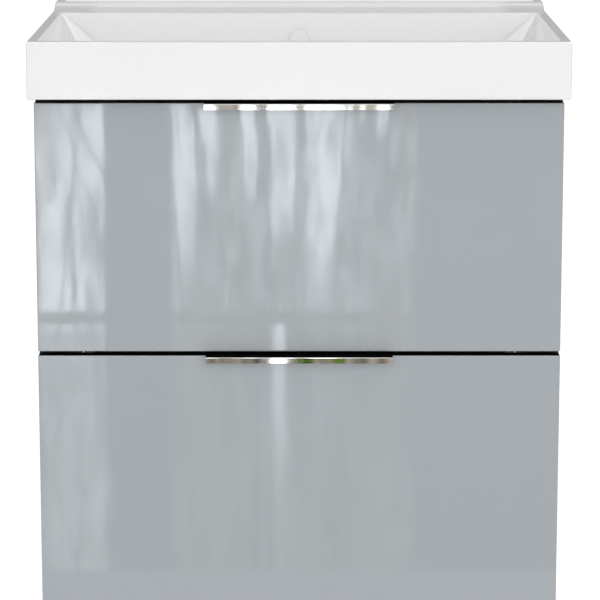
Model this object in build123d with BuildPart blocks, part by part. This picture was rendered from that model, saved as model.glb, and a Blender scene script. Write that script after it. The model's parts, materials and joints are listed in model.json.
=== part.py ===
from build123d import *

import os
from math import acos, atan2, copysign, cos, isclose, sin

# A wall-hung bathroom vanity: a cast basin on a board carcass with two full-extension drawers.
# Millimetres. X runs to the right as seen from the room, Y towards the wall and Z up. The wall
# is the plane Y = 0, and the origin lies midway between the holes of the two wall bolts.

# ------------------------------------------------------------------ driving dimensions
CABINET_WIDTH = 598.0
CARCASS_DEPTH = 450.0
CARCASS_HEIGHT = 590.0
BOARD = 16.0
BOARD_EDGE = 0.6

FIXING_HEIGHT = 551.0  # of the wall bolts above the cabinet's underside
FIXING_SPACING = 500.0
FIXING_HOLE = 10.0

FRONT_THICKNESS = 18.0
LOWER_FRONT = 294.0
UPPER_FRONT = 286.0
FRONT_GAP = 5.0  # between the two drawer fronts
FRONT_STANDOFF = 2.0  # from the carcass to the back of a front
FRONT_EDGE = 1.2

HANDLE_LENGTH = 214.0
HANDLE_STEEL = 1.2
HANDLE_REACH = 13.0  # of the lip in front of the drawer front
HANDLE_LIP = 7.5
HANDLE_FOOT = 16.0  # of the plate that lies on the front's top edge
HANDLE_BEND = 1.5
HANDLE_EDGE = 0.45

BASIN_WIDTH = 610.0
BASIN_DEPTH = 490.0
APRON_HEIGHT = 65.0
RIM_WIDTH = 12.0
BASIN_EDGE = 2.0
SEAL = 1.0
BOWL_LENGTH = 327.0  # front to back, at the rim
BOWL_DEPTH = 58.0  # at the foot of its walls
BOWL_BATTER = 20.0  # how far each wall leans in over that depth
BOWL_WALL = 8.0
RIM_CORNER = 3.0
RIM_EDGE = 1.5
FOOT_RADIUS = 18.0
FLOOR_CORNER = 60.0
FLOOR_FALL = 14.0
DRAIN_SQUARE = 90.0  # the level patch round the waste
DRAIN_CORNER = 40.0
DECK = 10.0
SHELF = 31.0  # the flat behind the bowl, level with the rim
LEDGE_RISE = 8.0
COVE_RADIUS = 60.0
BROW_RADIUS = 20.0

TAP_HOLE = 35.0
TAP_BACK = 45.0  # of the tap hole's centre in front of the wall
DRAIN_HOLE = 46.0
WASTE_RECESS = 3.0  # depth of the seat for the waste's flange
WASTE_RECESS_RADIUS = 33.0
WASTE_BOSS_RADIUS = 36.0
WASTE_BOSS_HEIGHT = 14.0
OVERFLOW_BELOW_RIM = 32.0
OVERFLOW_HOLE = 22.0
OVERFLOW_COVER = 24.0
COVER_GAP = 2.0
COVER_THICKNESS = 2.6
COVER_LEGS = 3
BOSS_BACK = 14.0  # thickness of the wall and its boss at the overflow
BOSS_RADIUS = 18.0

SLIDE_LENGTH = 350.0
SLIDE_SPACE = 12.7  # between the carcass side and the drawer side
SLIDE_STEEL = 1.2
CHANNEL_BEND = 1.6  # outer radius of the channels' bends
SLIDE_SETBACK = 2.0
BALL = 3.2
CAGE_LENGTH = 150.0
CAGE_RAIL = 0.8
BALLS_PER_ROW = 11
BALLS_FROM_END = 5.0

BOX_BOARD = 12.0
BOX_BOTTOM = 6.0
GROOVE_DEPTH = 6.0
GROOVE_HEIGHT = 10.0  # of the groove above the lower edge of the box
GROOVE_PLAY = 0.1
BOX_EDGE = 0.5
SLIDE_ON_BOX = 45.0  # height of the slide's middle above the lower edge of the box

FRONT_RAIL_BELOW = 49.0  # from the carcass's top to the underside of its front rail
FRONT_RAIL_DOWEL = 11.0  # from each edge of the rail
REAR_RAIL_DOWEL = 18.0
BOTTOM_DOWEL_Y = (-400.0, -60.0)
BOTTOM_CAM_Y = (-330.0, -130.0)
DOWEL = 8.0
DOWEL_LENGTH = 30.0
DOWEL_IN_SIDE = 10.0
DOWEL_LEAD = 0.8
CAM = 15.0
CAM_HEIGHT = 12.5
CAM_FROM_END = 34.0
CAM_BOLT = 6.0
CAM_BOLT_PLAY = 0.2
SCREW = 3.5
PAN_HEAD = 3.3  # radius of a pan head
PAN_HEAD_HEIGHT = 2.2
SLIM_HEAD = 0.9  # height of the heads in the carcass members, which the balls run past
LOW_HEAD = 2.0
CARCASS_SLIDE_SCREW = 12.0
BOX_SLIDE_SCREW = 11.5
FRONT_SCREW = 24.0
FRONT_SCREW_STEP = 35.0  # above and below the middle of the box
HANDLE_SCREW = 3.0
HANDLE_SCREW_LENGTH = 15.0
HANDLE_SCREW_HEAD = 2.6
PILOT_PLAY = 0.05
SCREW_PLAY = 0.3
SINK_PLAY = 0.1
BLIND = 1.0  # how much deeper a blind hole is than what stands in it
RECESS = 0.8  # width and reach of a cross recess

WASTE_TUBE = 21.0
WASTE_BORE = 17.0
FLANGE = 31.0  # radius of the waste's flange
GUIDE_BELOW = 22.0  # middle of the stem's guide below the bowl's floor
STEM = 4.0
RUNNING = 0.06  # radial clearance of the plug's stem in its guide
PLUG_RADIUS = 28.0
PLUG_DOME = 4.5
PLUG_RIM = 1.2
PLUG_LIFTED = 0.4  # the plug's underside above the flange's edge
PLUG_STEM_END = 34.0
NUT_HEIGHT = 9.0
NUT_RIBS = 12
NUT_RIB = 2.4
GASKET = 3.0
HORN_Z = -6.0  # of the waste's side branch
HORN_REACH = 48.0
HORN_BORE = 7.0
HOSE = 23.0
HOSE_WALL = 2.0
HOSE_BEND = 30.0
HOSE_GRIP = 12.0  # how far the hose is pushed over the branch
ELBOW_WALL = 1.5
ELBOW_BEND = 12.0
ELBOW_RUN = 18.0
ELBOW_DROP = 24.0
PIPE = 32.0
PIPE_WALL = 1.5
PIPE_BEND = 24.0
PIPE_PLAY = 0.2
TRAP_CUP = 54.0
TRAP_CUP_HEIGHT = 86.0
TRAP_CUP_FOOT = 12.0
TRAP_BACK = 62.0  # of the cup's axis in front of the wall
TRAP_WALL = 2.5
TRAP_DIP = 22.0  # from the end of the pipe to the cup's floor
TRAP_LID = 12.0
COLLAR = 11.0
OUTLET_BELOW = 26.0  # the outlet's axis below the top of the cup
SPIGOT = 19.5  # the bare end of the outlet pipe

# ------------------------------------------------------------------ positions worked out from them
SIDES = {"left": -1, "right": 1}
HALF = CABINET_WIDTH / 2
INSIDE = HALF - BOARD
UNDERSIDE = -FIXING_HEIGHT
CARCASS_TOP = UNDERSIDE + CARCASS_HEIGHT
FRONT_BACK = -CARCASS_DEPTH - FRONT_STANDOFF
FRONT_FACE = FRONT_BACK - FRONT_THICKNESS
BASIN_BASE = CARCASS_TOP + SEAL
RIM = BASIN_BASE + APRON_HEIGHT
LEDGE = RIM + LEDGE_RISE
BOWL_FRONT = -BASIN_DEPTH + RIM_WIDTH
BOWL_BACK = BOWL_FRONT + BOWL_LENGTH
BOWL_HALF = BASIN_WIDTH / 2 - RIM_WIDTH
BOWL_FOOT = RIM - BOWL_DEPTH
DRAIN_FLOOR = BOWL_FOOT - FLOOR_FALL
DRAIN_Y = (BOWL_FRONT + BOWL_BACK) / 2
# The two drawers: the lower edge and height of the front, then those of the box behind it.
DRAWERS = {
    "lower": {
        "front": UNDERSIDE,
        "front_height": LOWER_FRONT,
        "box": UNDERSIDE + 32,
        "height": 200.0,
    },
    "upper": {
        "front": UNDERSIDE + LOWER_FRONT + FRONT_GAP,
        "front_height": UPPER_FRONT,
        "box": UNDERSIDE + 323,
        "height": 140.0,
    },
}
BOX_HALF = INSIDE - SLIDE_SPACE
BOX_FRONT = FRONT_BACK
BOX_BACK = FRONT_BACK + SLIDE_LENGTH
SLIDE_BACK = -CARCASS_DEPTH + SLIDE_SETBACK + SLIDE_LENGTH

# Rails, as (front, back) and (low, high).
RAIL = 80.0
FRONT_RAIL = 60.0
FRONT_RAIL_Y = (-CARCASS_DEPTH, -CARCASS_DEPTH + FRONT_RAIL)
FRONT_RAIL_Z = (CARCASS_TOP - FRONT_RAIL_BELOW, CARCASS_TOP - FRONT_RAIL_BELOW + BOARD)
REAR_RAIL_Y = (-BOARD, 0.0)
TOP_RAIL_Z = (CARCASS_TOP - RAIL, CARCASS_TOP)
LOW_RAIL_Z = (UNDERSIDE + BOARD, UNDERSIDE + BOARD + RAIL)
BOTTOM_Z = (UNDERSIDE, UNDERSIDE + BOARD)

# Dowels and cam fittings that join each board to the two sides, as (y, z).
MID_BOTTOM = sum(BOTTOM_Z) / 2
MID_FRONT_RAIL = sum(FRONT_RAIL_Z) / 2
MID_REAR_RAIL = sum(REAR_RAIL_Y) / 2
BOTTOM_DOWELS = [(y, MID_BOTTOM) for y in BOTTOM_DOWEL_Y]
FRONT_RAIL_DOWELS = [
    (FRONT_RAIL_Y[0] + FRONT_RAIL_DOWEL, MID_FRONT_RAIL),
    (FRONT_RAIL_Y[1] - FRONT_RAIL_DOWEL, MID_FRONT_RAIL),
]
TOP_RAIL_DOWELS = [
    (MID_REAR_RAIL, TOP_RAIL_Z[0] + REAR_RAIL_DOWEL),
    (MID_REAR_RAIL, TOP_RAIL_Z[1] - REAR_RAIL_DOWEL),
]
LOW_RAIL_DOWELS = [
    (MID_REAR_RAIL, LOW_RAIL_Z[0] + REAR_RAIL_DOWEL),
    (MID_REAR_RAIL, LOW_RAIL_Z[1] - REAR_RAIL_DOWEL),
]
ALL_DOWELS = BOTTOM_DOWELS + FRONT_RAIL_DOWELS + TOP_RAIL_DOWELS + LOW_RAIL_DOWELS
BOTTOM_CAMS = [(y, MID_BOTTOM) for y in BOTTOM_CAM_Y]
FRONT_RAIL_CAMS = [(sum(FRONT_RAIL_Y) / 2, MID_FRONT_RAIL)]
LOW_RAIL_CAMS = [(MID_REAR_RAIL, sum(LOW_RAIL_Z) / 2)]

BRACKET_LEG = 50.0
BRACKET_HEIGHT = 60.0
BRACKET_STEEL = 2.0
BRACKET_SCREWS = (-20.0, 20.0)  # above and below the wall bolt
BRACKET_SCREW_LENGTH = 13.0
BUMPER_RADIUS = 4.0
BUMPER_HEIGHT = 1.6
BUMPER_FROM_END = 30.0

SLIDE_SCREW_Y = (-430.0, -270.0, -120.0)
FRONT_SCREW_X = (-190.0, -60.0, 60.0, 190.0)
HANDLE_SCREW_X = (-80.0, 0.0, 80.0)

# The overflow leaves square to the bowl's leaning back wall.
LEAN = atan2(BOWL_BATTER, BOWL_DEPTH)
OVERFLOW_Z = RIM - OVERFLOW_BELOW_RIM
OVERFLOW_Y = BOWL_BACK - OVERFLOW_BELOW_RIM * BOWL_BATTER / BOWL_DEPTH
OVERFLOW_PLANE = Plane(
    origin=(0, OVERFLOW_Y, OVERFLOW_Z), x_dir=(1, 0, 0), z_dir=(0, -cos(LEAN), sin(LEAN))
)

os.makedirs("parts", exist_ok=True)


def save(piece, name):
    """Labels a finished piece and writes it to its own STEP file."""
    piece.part.label = name
    export_step(piece.part, f"parts/{name}.step")


def block(x, y, z, mode=Mode.ADD):
    """A box in the part being built, between the (low, high) pairs x, y and z."""
    with Locations((sum(x) / 2, sum(y) / 2, sum(z) / 2)):
        Box(x[1] - x[0], y[1] - y[0], z[1] - z[0], mode=mode)


def across(side, near, far):
    """The (low, high) pair of X between two distances from the middle, on one side."""
    return tuple(sorted((side * near, side * far)))


def drill(planes, radius, depth):
    """Round holes in the part being built, each going down from its plane."""
    with Locations(*planes):
        Cylinder(
            radius, depth, align=(Align.CENTER, Align.CENTER, Align.MAX), mode=Mode.SUBTRACT
        )


def facing(x, y, z, direction):
    """A plane at a point, whose normal is the direction a fastener comes out."""
    return Plane(origin=(x, y, z), z_dir=direction)


def cross_recess(top, length):
    """A cross recess cut into a screw head whose top is at the height top."""
    for size in ((length, RECESS), (RECESS, length)):
        with Locations((0, 0, top)):
            Box(*size, 2 * RECESS, mode=Mode.SUBTRACT)


def pan_head_screw(radius, length, head_radius, head_height):
    """A screw whose head stands on Z = 0, with its shank below."""
    with BuildPart() as screw:
        with BuildSketch(Plane.XZ):
            with BuildLine():
                Polyline(
                    (0, head_height),
                    (head_radius * 0.7, head_height),
                    (head_radius, head_height * 0.5),
                    (head_radius, 0),
                    (radius, 0),
                    (radius, 2 * radius - length),
                    (0, -length),
                    close=True,
                )
            make_face()
        revolve(axis=Axis.Z)
        cross_recess(head_height, head_radius * 1.2)
    return screw.part


def countersunk_screw(radius, length, head_radius):
    """A screw whose flat head is flush with Z = 0."""
    with BuildPart() as screw:
        with BuildSketch(Plane.XZ):
            with BuildLine():
                Polyline(
                    (0, 0),
                    (head_radius, 0),
                    (radius, radius - head_radius),
                    (radius, 2 * radius - length),
                    (0, -length),
                    close=True,
                )
            make_face()
        revolve(axis=Axis.Z)
        cross_recess(0, head_radius * 1.2)
    return screw.part


def fasteners(name, planes, fastener):
    """One node of identical fasteners, one standing on each plane."""
    with BuildPart() as group:
        with Locations(*planes):
            add(fastener)
    save(group, name)


# ------------------------------------------------------------------ where the fasteners go
def slide_middle(drawer):
    """The height of a drawer's slides."""
    return DRAWERS[drawer]["box"] + SLIDE_ON_BOX


def front_top(drawer):
    """The height of the top edge of a drawer's front."""
    return DRAWERS[drawer]["front"] + DRAWERS[drawer]["front_height"]


def carcass_slide_screws(side):
    """Screws through the outer slide members into one carcass side."""
    x = side * (INSIDE - SLIDE_STEEL)
    return [
        facing(x, y, slide_middle(drawer), (-side, 0, 0))
        for drawer in DRAWERS
        for y in SLIDE_SCREW_Y
    ]


def box_slide_screws(drawer, side):
    """Screws through an inner slide member into the drawer side."""
    x = side * (BOX_HALF + SLIDE_STEEL)
    return [facing(x, y, slide_middle(drawer), (side, 0, 0)) for y in SLIDE_SCREW_Y]


def bracket_side_screws(side):
    """Screws through a wall bracket into one carcass side."""
    x = side * (INSIDE - BRACKET_STEEL)
    y = -BOARD - BRACKET_LEG * 0.6
    return [facing(x, y, z, (-side, 0, 0)) for z in BRACKET_SCREWS]


def bracket_rail_screws(side):
    """Screws through a wall bracket into the top rear rail."""
    x = side * FIXING_SPACING / 2
    return [facing(x, -BOARD - BRACKET_STEEL, z, (0, -1, 0)) for z in BRACKET_SCREWS]


def front_screws(drawer):
    """Screws from inside the box through its front board into the drawer front."""
    z = DRAWERS[drawer]["box"] + DRAWERS[drawer]["height"] / 2
    return [
        facing(x, BOX_FRONT + BOX_BOARD, z + step, (0, 1, 0))
        for x in FRONT_SCREW_X
        for step in (-FRONT_SCREW_STEP, FRONT_SCREW_STEP)
    ]


def handle_screws(drawer):
    """Screws through the handle's plate into the front's top edge."""
    z = front_top(drawer) + HANDLE_STEEL
    y = FRONT_FACE + HANDLE_FOOT / 2
    return [facing(x, y, z, (0, 0, 1)) for x in HANDLE_SCREW_X]


def dowel_sockets(places):
    """Blind dowel holes in the two ends of the board being built."""
    for side in SIDES.values():
        ends = [facing(side * INSIDE, y, z, (side, 0, 0)) for y, z in places]
        drill(ends, DOWEL / 2 + PILOT_PLAY, DOWEL_LENGTH - DOWEL_IN_SIDE + BLIND)


def cam_sockets(places, direction, face):
    """Cam pockets and their bolt holes in the board being built."""
    for side in SIDES.values():
        ends = [facing(side * INSIDE, y, z, (side, 0, 0)) for y, z in places]
        drill(ends, CAM_BOLT / 2 + PILOT_PLAY, CAM_FROM_END)
        pockets = [cam_plane(side, y, z, direction, face) for y, z in places]
        drill(pockets, CAM / 2 + PILOT_PLAY, CAM_HEIGHT + PILOT_PLAY)


def cam_plane(side, y, z, direction, face):
    """The face that a cam is let into: face is its y or its z, whichever direction points along."""
    x = side * (INSIDE - CAM_FROM_END)
    return facing(x, y, face, direction) if direction[2] else facing(x, face, z, direction)


# ------------------------------------------------------------------ carcass
for name, side in SIDES.items():
    inner = side * INSIDE
    with BuildPart() as side_panel:
        block(across(side, INSIDE, HALF), (-CARCASS_DEPTH, 0), (UNDERSIDE, CARCASS_TOP))
        fillet(side_panel.edges(), BOARD_EDGE)
        drill(
            [facing(inner, y, z, (-side, 0, 0)) for y, z in ALL_DOWELS],
            DOWEL / 2 + PILOT_PLAY,
            DOWEL_IN_SIDE + BLIND,
        )
        drill(
            [
                facing(inner, y, z, (-side, 0, 0))
                for y, z in BOTTOM_CAMS + FRONT_RAIL_CAMS + LOW_RAIL_CAMS
            ],
            CAM_BOLT / 2 + PILOT_PLAY,
            DOWEL_IN_SIDE + BLIND,
        )
        drill(
            carcass_slide_screws(side) + bracket_side_screws(side),
            SCREW / 2 + PILOT_PLAY,
            BRACKET_SCREW_LENGTH + BLIND,
        )
    save(side_panel, f"side_panel_{name}")

with BuildPart() as bottom_panel:
    block((-INSIDE, INSIDE), (-CARCASS_DEPTH, 0), BOTTOM_Z)
    dowel_sockets(BOTTOM_DOWELS)
    cam_sockets(BOTTOM_CAMS, (0, 0, -1), BOTTOM_Z[0])
save(bottom_panel, "bottom_panel")

with BuildPart() as top_front_rail:
    block((-INSIDE, INSIDE), FRONT_RAIL_Y, FRONT_RAIL_Z)
    dowel_sockets(FRONT_RAIL_DOWELS)
    cam_sockets(FRONT_RAIL_CAMS, (0, 0, 1), FRONT_RAIL_Z[1])
save(top_front_rail, "top_front_rail")

with BuildPart() as top_rear_rail:
    block((-INSIDE, INSIDE), REAR_RAIL_Y, TOP_RAIL_Z)
    dowel_sockets(TOP_RAIL_DOWELS)
    for side in SIDES.values():
        bolt = facing(side * FIXING_SPACING / 2, -BOARD, 0, (0, -1, 0))
        drill([bolt], FIXING_HOLE / 2, BOARD)
        drill(bracket_rail_screws(side), SCREW / 2 + PILOT_PLAY, BRACKET_SCREW_LENGTH + BLIND)
save(top_rear_rail, "top_rear_rail")

with BuildPart() as lower_rear_rail:
    block((-INSIDE, INSIDE), REAR_RAIL_Y, LOW_RAIL_Z)
    dowel_sockets(LOW_RAIL_DOWELS)
    cam_sockets(LOW_RAIL_CAMS, (0, -1, 0), REAR_RAIL_Y[0])
save(lower_rear_rail, "lower_rear_rail")

with BuildPart() as dowel:
    Cylinder(DOWEL / 2, DOWEL_LENGTH)
    chamfer(dowel.edges().filter_by(GeomType.CIRCLE), DOWEL_LEAD)
DOWEL_MIDDLE = INSIDE + DOWEL_IN_SIDE - DOWEL_LENGTH / 2
fasteners(
    "carcass_dowels",
    [
        facing(side * DOWEL_MIDDLE, y, z, (side, 0, 0))
        for side in SIDES.values()
        for y, z in ALL_DOWELS
    ],
    dowel.part,
)

with BuildPart() as cam:
    Cylinder(CAM / 2, CAM_HEIGHT, align=(Align.CENTER, Align.CENTER, Align.MAX))
    fillet(cam.edges().filter_by(GeomType.CIRCLE).group_by(Axis.Z)[-1], 0.5)
    cross_recess(0, CAM * 0.55)
    with Locations(Plane(origin=(0, 0, -BOARD / 2), z_dir=(1, 0, 0))):
        Cylinder(CAM_BOLT / 2 + CAM_BOLT_PLAY, CAM, mode=Mode.SUBTRACT)
fasteners(
    "cam_locks",
    [
        cam_plane(side, y, z, direction, face)
        for side in SIDES.values()
        for places, direction, face in (
            (BOTTOM_CAMS, (0, 0, -1), BOTTOM_Z[0]),
            (FRONT_RAIL_CAMS, (0, 0, 1), FRONT_RAIL_Z[1]),
            (LOW_RAIL_CAMS, (0, -1, 0), REAR_RAIL_Y[0]),
        )
        for y, z in places
    ],
    cam.part,
)

CAM_BOLT_LENGTH = DOWEL_IN_SIDE + CAM_FROM_END - CAM / 2
with BuildPart() as cam_bolt:
    Cylinder(CAM_BOLT / 2, CAM_BOLT_LENGTH, align=(Align.CENTER, Align.CENTER, Align.MAX))
    chamfer(cam_bolt.edges().filter_by(GeomType.CIRCLE), 0.6)
fasteners(
    "cam_bolts",
    [
        facing(side * (INSIDE + DOWEL_IN_SIDE), y, z, (side, 0, 0))
        for side in SIDES.values()
        for y, z in BOTTOM_CAMS + FRONT_RAIL_CAMS + LOW_RAIL_CAMS
    ],
    cam_bolt.part,
)

# Steel angles in the top rear corners. A wall bolt passes through each one and the rail.
for name, side in SIDES.items():
    height = (-BRACKET_HEIGHT / 2, BRACKET_HEIGHT / 2)
    with BuildPart() as wall_bracket:
        block(
            across(side, INSIDE - BRACKET_STEEL, INSIDE),
            (-BOARD - BRACKET_LEG, -BOARD),
            height,
        )
        block(
            across(side, INSIDE - BRACKET_LEG, INSIDE),
            (-BOARD - BRACKET_STEEL, -BOARD),
            height,
        )
        fillet(
            wall_bracket.edges().filter_by(Axis.X).group_by(Axis.Y)[0]
            + wall_bracket.edges().filter_by(Axis.Y).group_by(Axis.X)[0 if side > 0 else -1],
            BRACKET_STEEL * 0.4,
        )
        bolt = facing(side * FIXING_SPACING / 2, -BOARD - BRACKET_STEEL, 0, (0, -1, 0))
        drill([bolt], FIXING_HOLE / 2, BRACKET_STEEL)
        drill(
            bracket_rail_screws(side) + bracket_side_screws(side),
            SCREW / 2 + SCREW_PLAY,
            BRACKET_STEEL,
        )
    save(wall_bracket, f"wall_bracket_{name}")

fasteners(
    "bracket_screws",
    [
        plane
        for side in SIDES.values()
        for plane in bracket_side_screws(side) + bracket_rail_screws(side)
    ],
    pan_head_screw(SCREW / 2, BRACKET_SCREW_LENGTH, PAN_HEAD, PAN_HEAD_HEIGHT),
)

# Soft discs on the carcass's front edges, which the closed drawer fronts meet.
with BuildPart() as bumper:
    Cylinder(BUMPER_RADIUS, BUMPER_HEIGHT, align=(Align.CENTER, Align.CENTER, Align.MIN))
    fillet(bumper.edges().filter_by(GeomType.CIRCLE).group_by(Axis.Z)[-1], BUMPER_HEIGHT / 2)
fasteners(
    "bumpers",
    [
        facing(side * (HALF - BOARD / 2), -CARCASS_DEPTH, drawer["front"] + z, (0, -1, 0))
        for side in SIDES.values()
        for drawer in DRAWERS.values()
        for z in (BUMPER_FROM_END, drawer["front_height"] - BUMPER_FROM_END)
    ],
    bumper.part,
)

# A bead of silicone beds the basin on the top edges of the sides and the rear rail.
FOOT_INSIDE = INSIDE + 4
with BuildPart() as basin_seal:
    for side in SIDES.values():
        block(
            across(side, FOOT_INSIDE, HALF - 1),
            (-CARCASS_DEPTH + 2, -2),
            (CARCASS_TOP, BASIN_BASE),
        )
    block((-FOOT_INSIDE, FOOT_INSIDE), (-BOARD + 1, -2), (CARCASS_TOP, BASIN_BASE))
save(basin_seal, "basin_seal")


# ------------------------------------------------------------------ basin
def bowl_section(height, inset, corner, wall=0.0):
    """The bowl's outline at one height, as a sketch: inset from the rim and grown by wall."""
    grow = 2 * (wall - inset)
    with BuildSketch(Plane.XY.offset(height)) as outline:
        with Locations((0, DRAIN_Y)):
            RectangleRounded(2 * BOWL_HALF + grow, BOWL_LENGTH + grow, corner + wall)
    return outline.sketch


def bowl_body(wall=0.0, drop=0.0):
    """The bowl as a solid: its leaning walls, then its floor falling to the waste."""
    rim = bowl_section(RIM, 0, RIM_CORNER, wall)
    foot = bowl_section(BOWL_FOOT - drop, BOWL_BATTER, FLOOR_CORNER, wall)
    with BuildSketch(Plane.XY.offset(DRAIN_FLOOR - drop)) as drain:
        with Locations((0, DRAIN_Y)):
            RectangleRounded(DRAIN_SQUARE, DRAIN_SQUARE, DRAIN_CORNER)
    with BuildPart() as body:
        loft([rim, foot], ruled=True)
        loft([foot, drain.sketch], ruled=True)
        foot_level = (BOWL_FOOT - drop - 0.01, BOWL_FOOT - drop + 0.01)
        fillet(body.edges().filter_by_position(Axis.Z, *foot_level), FOOT_RADIUS + wall)
    return body.part


RISE_ANGLE = acos(1 - LEDGE_RISE / (COVE_RADIUS + BROW_RADIUS))
SHELF_BACK = BOWL_BACK + SHELF
COVE_END = (
    SHELF_BACK + COVE_RADIUS * sin(RISE_ANGLE),
    RIM + COVE_RADIUS * (1 - cos(RISE_ANGLE)),
)
BROW_END = (COVE_END[0] + BROW_RADIUS * sin(RISE_ANGLE), LEDGE)
WASTE_SEAT = DRAIN_FLOOR - WASTE_BOSS_HEIGHT  # the flat underside that the nut pulls on

with BuildPart() as basin:
    # The outside is one side profile, with a cove that rises from the shelf to the tap ledge.
    with BuildSketch(Plane.YZ.offset(-BASIN_WIDTH / 2)):
        with BuildLine():
            Polyline((0, LEDGE), (0, BASIN_BASE), (-BASIN_DEPTH, BASIN_BASE))
            Polyline((-BASIN_DEPTH, BASIN_BASE), (-BASIN_DEPTH, RIM), (SHELF_BACK, RIM))
            TangentArc((SHELF_BACK, RIM), COVE_END, tangent=(1, 0))
            TangentArc(COVE_END, BROW_END, tangent=(cos(RISE_ANGLE), sin(RISE_ANGLE)))
            Line(BROW_END, (0, LEDGE))
        make_face()
    extrude(amount=BASIN_WIDTH)
    fillet(
        basin.edges().filter_by(lambda edge: edge.center().Y < -1),
        BASIN_EDGE,
    )
    # It is hollow underneath, round the bowl.
    block(
        (-FOOT_INSIDE, FOOT_INSIDE),
        (-BASIN_DEPTH + BOARD, -BOARD),
        (BASIN_BASE, RIM - DECK),
        mode=Mode.SUBTRACT,
    )
    add(bowl_body(wall=BOWL_WALL, drop=BOWL_WALL))
    with Locations((0, DRAIN_Y, DRAIN_FLOOR)):
        Cylinder(
            WASTE_BOSS_RADIUS,
            WASTE_BOSS_HEIGHT,
            align=(Align.CENTER, Align.CENTER, Align.MAX),
        )
    with Locations(OVERFLOW_PLANE):
        Cylinder(BOSS_RADIUS, BOSS_BACK, align=(Align.CENTER, Align.CENTER, Align.MAX))
    add(bowl_body(), mode=Mode.SUBTRACT)
    with Locations((0, DRAIN_Y, DRAIN_FLOOR)):
        Cylinder(DRAIN_HOLE / 2, 3 * WASTE_BOSS_HEIGHT, mode=Mode.SUBTRACT)
        Cylinder(WASTE_RECESS_RADIUS, 2 * WASTE_RECESS, mode=Mode.SUBTRACT)
    with Locations((0, -TAP_BACK, LEDGE)):
        Cylinder(TAP_HOLE / 2, 3 * (LEDGE_RISE + DECK), mode=Mode.SUBTRACT)
    with Locations(OVERFLOW_PLANE):
        Cylinder(OVERFLOW_HOLE / 2, 3 * BOSS_BACK, mode=Mode.SUBTRACT)
    rim_edges = basin.edges().filter_by_position(Axis.Z, RIM - 0.01, RIM + 0.01)
    fillet(
        rim_edges.filter_by_position(Axis.Y, BOWL_FRONT - 1, BOWL_BACK + 1).filter_by_position(
            Axis.X, -BOWL_HALF - 1, BOWL_HALF + 1
        ),
        RIM_EDGE,
    )
save(basin, "basin")

# The cover is a plain disc that stands off the wall on three legs, so water runs in behind it.
with BuildPart() as overflow_cover:
    with Locations(OVERFLOW_PLANE.offset(COVER_GAP)):
        Cylinder(
            OVERFLOW_COVER / 2, COVER_THICKNESS, align=(Align.CENTER, Align.CENTER, Align.MIN)
        )
    fillet(overflow_cover.edges().filter_by(GeomType.CIRCLE).sort_by(Axis.Y)[0], 1.2)
    with Locations(OVERFLOW_PLANE.offset(COVER_GAP)):
        with PolarLocations(OVERFLOW_HOLE / 2 - 2, COVER_LEGS, start_angle=90):
            Box(2, 4, COVER_GAP + 8, align=(Align.CENTER, Align.CENTER, Align.MAX))
save(overflow_cover, "overflow_cover")


# ------------------------------------------------------------------ waste, overflow and trap
HORN_RADIUS = HOSE / 2 - HOSE_WALL - 0.1
WASTE_END = HORN_Z - 20.0
NUT_TOP = WASTE_SEAT - GASKET
PIPE_RUN_Z = WASTE_END - NUT_HEIGHT - 3 - PIPE_BEND
TRAP_Y = -TRAP_BACK
CUP_TOP = PIPE_RUN_Z - PIPE_BEND - TRAP_LID - 2
CUP_BOTTOM = CUP_TOP - TRAP_CUP_HEIGHT
OUTLET_Z = CUP_TOP - OUTLET_BELOW
COLLAR_Y = TRAP_Y + TRAP_CUP / 2 + 4


def washer(plane, outer, inner, thickness):
    """A flat ring in the part being built, rising from a plane."""
    with Locations(plane):
        Cylinder(outer, thickness, align=(Align.CENTER, Align.CENTER, Align.MIN))
        Cylinder(inner, 3 * thickness, mode=Mode.SUBTRACT)


def ribbed_nut(outer, inner, height):
    """A hand-tight plastic nut standing on Z = 0, with ribs for grip."""
    with BuildPart() as nut:
        Cylinder(outer, height, align=(Align.CENTER, Align.CENTER, Align.MIN))
        chamfer(nut.edges().filter_by(GeomType.CIRCLE), 1.0)
        with PolarLocations(outer, NUT_RIBS):
            Box(NUT_RIB, NUT_RIB, height - 3, align=(Align.CENTER, Align.CENTER, Align.MIN))
        Cylinder(inner, 3 * height, mode=Mode.SUBTRACT)
    return nut.part


def bent_pipe(points, bend, outer, wall):
    """A pipe along straight runs joined by tangent bends."""
    with BuildPart() as pipe:
        with BuildLine():
            route = FilletPolyline(*points, radius=bend)
        with BuildSketch(Plane(origin=route @ 0, z_dir=route % 0)):
            Circle(outer)
            Circle(outer - wall, mode=Mode.SUBTRACT)
        sweep(path=route)
    return pipe.part


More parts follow.
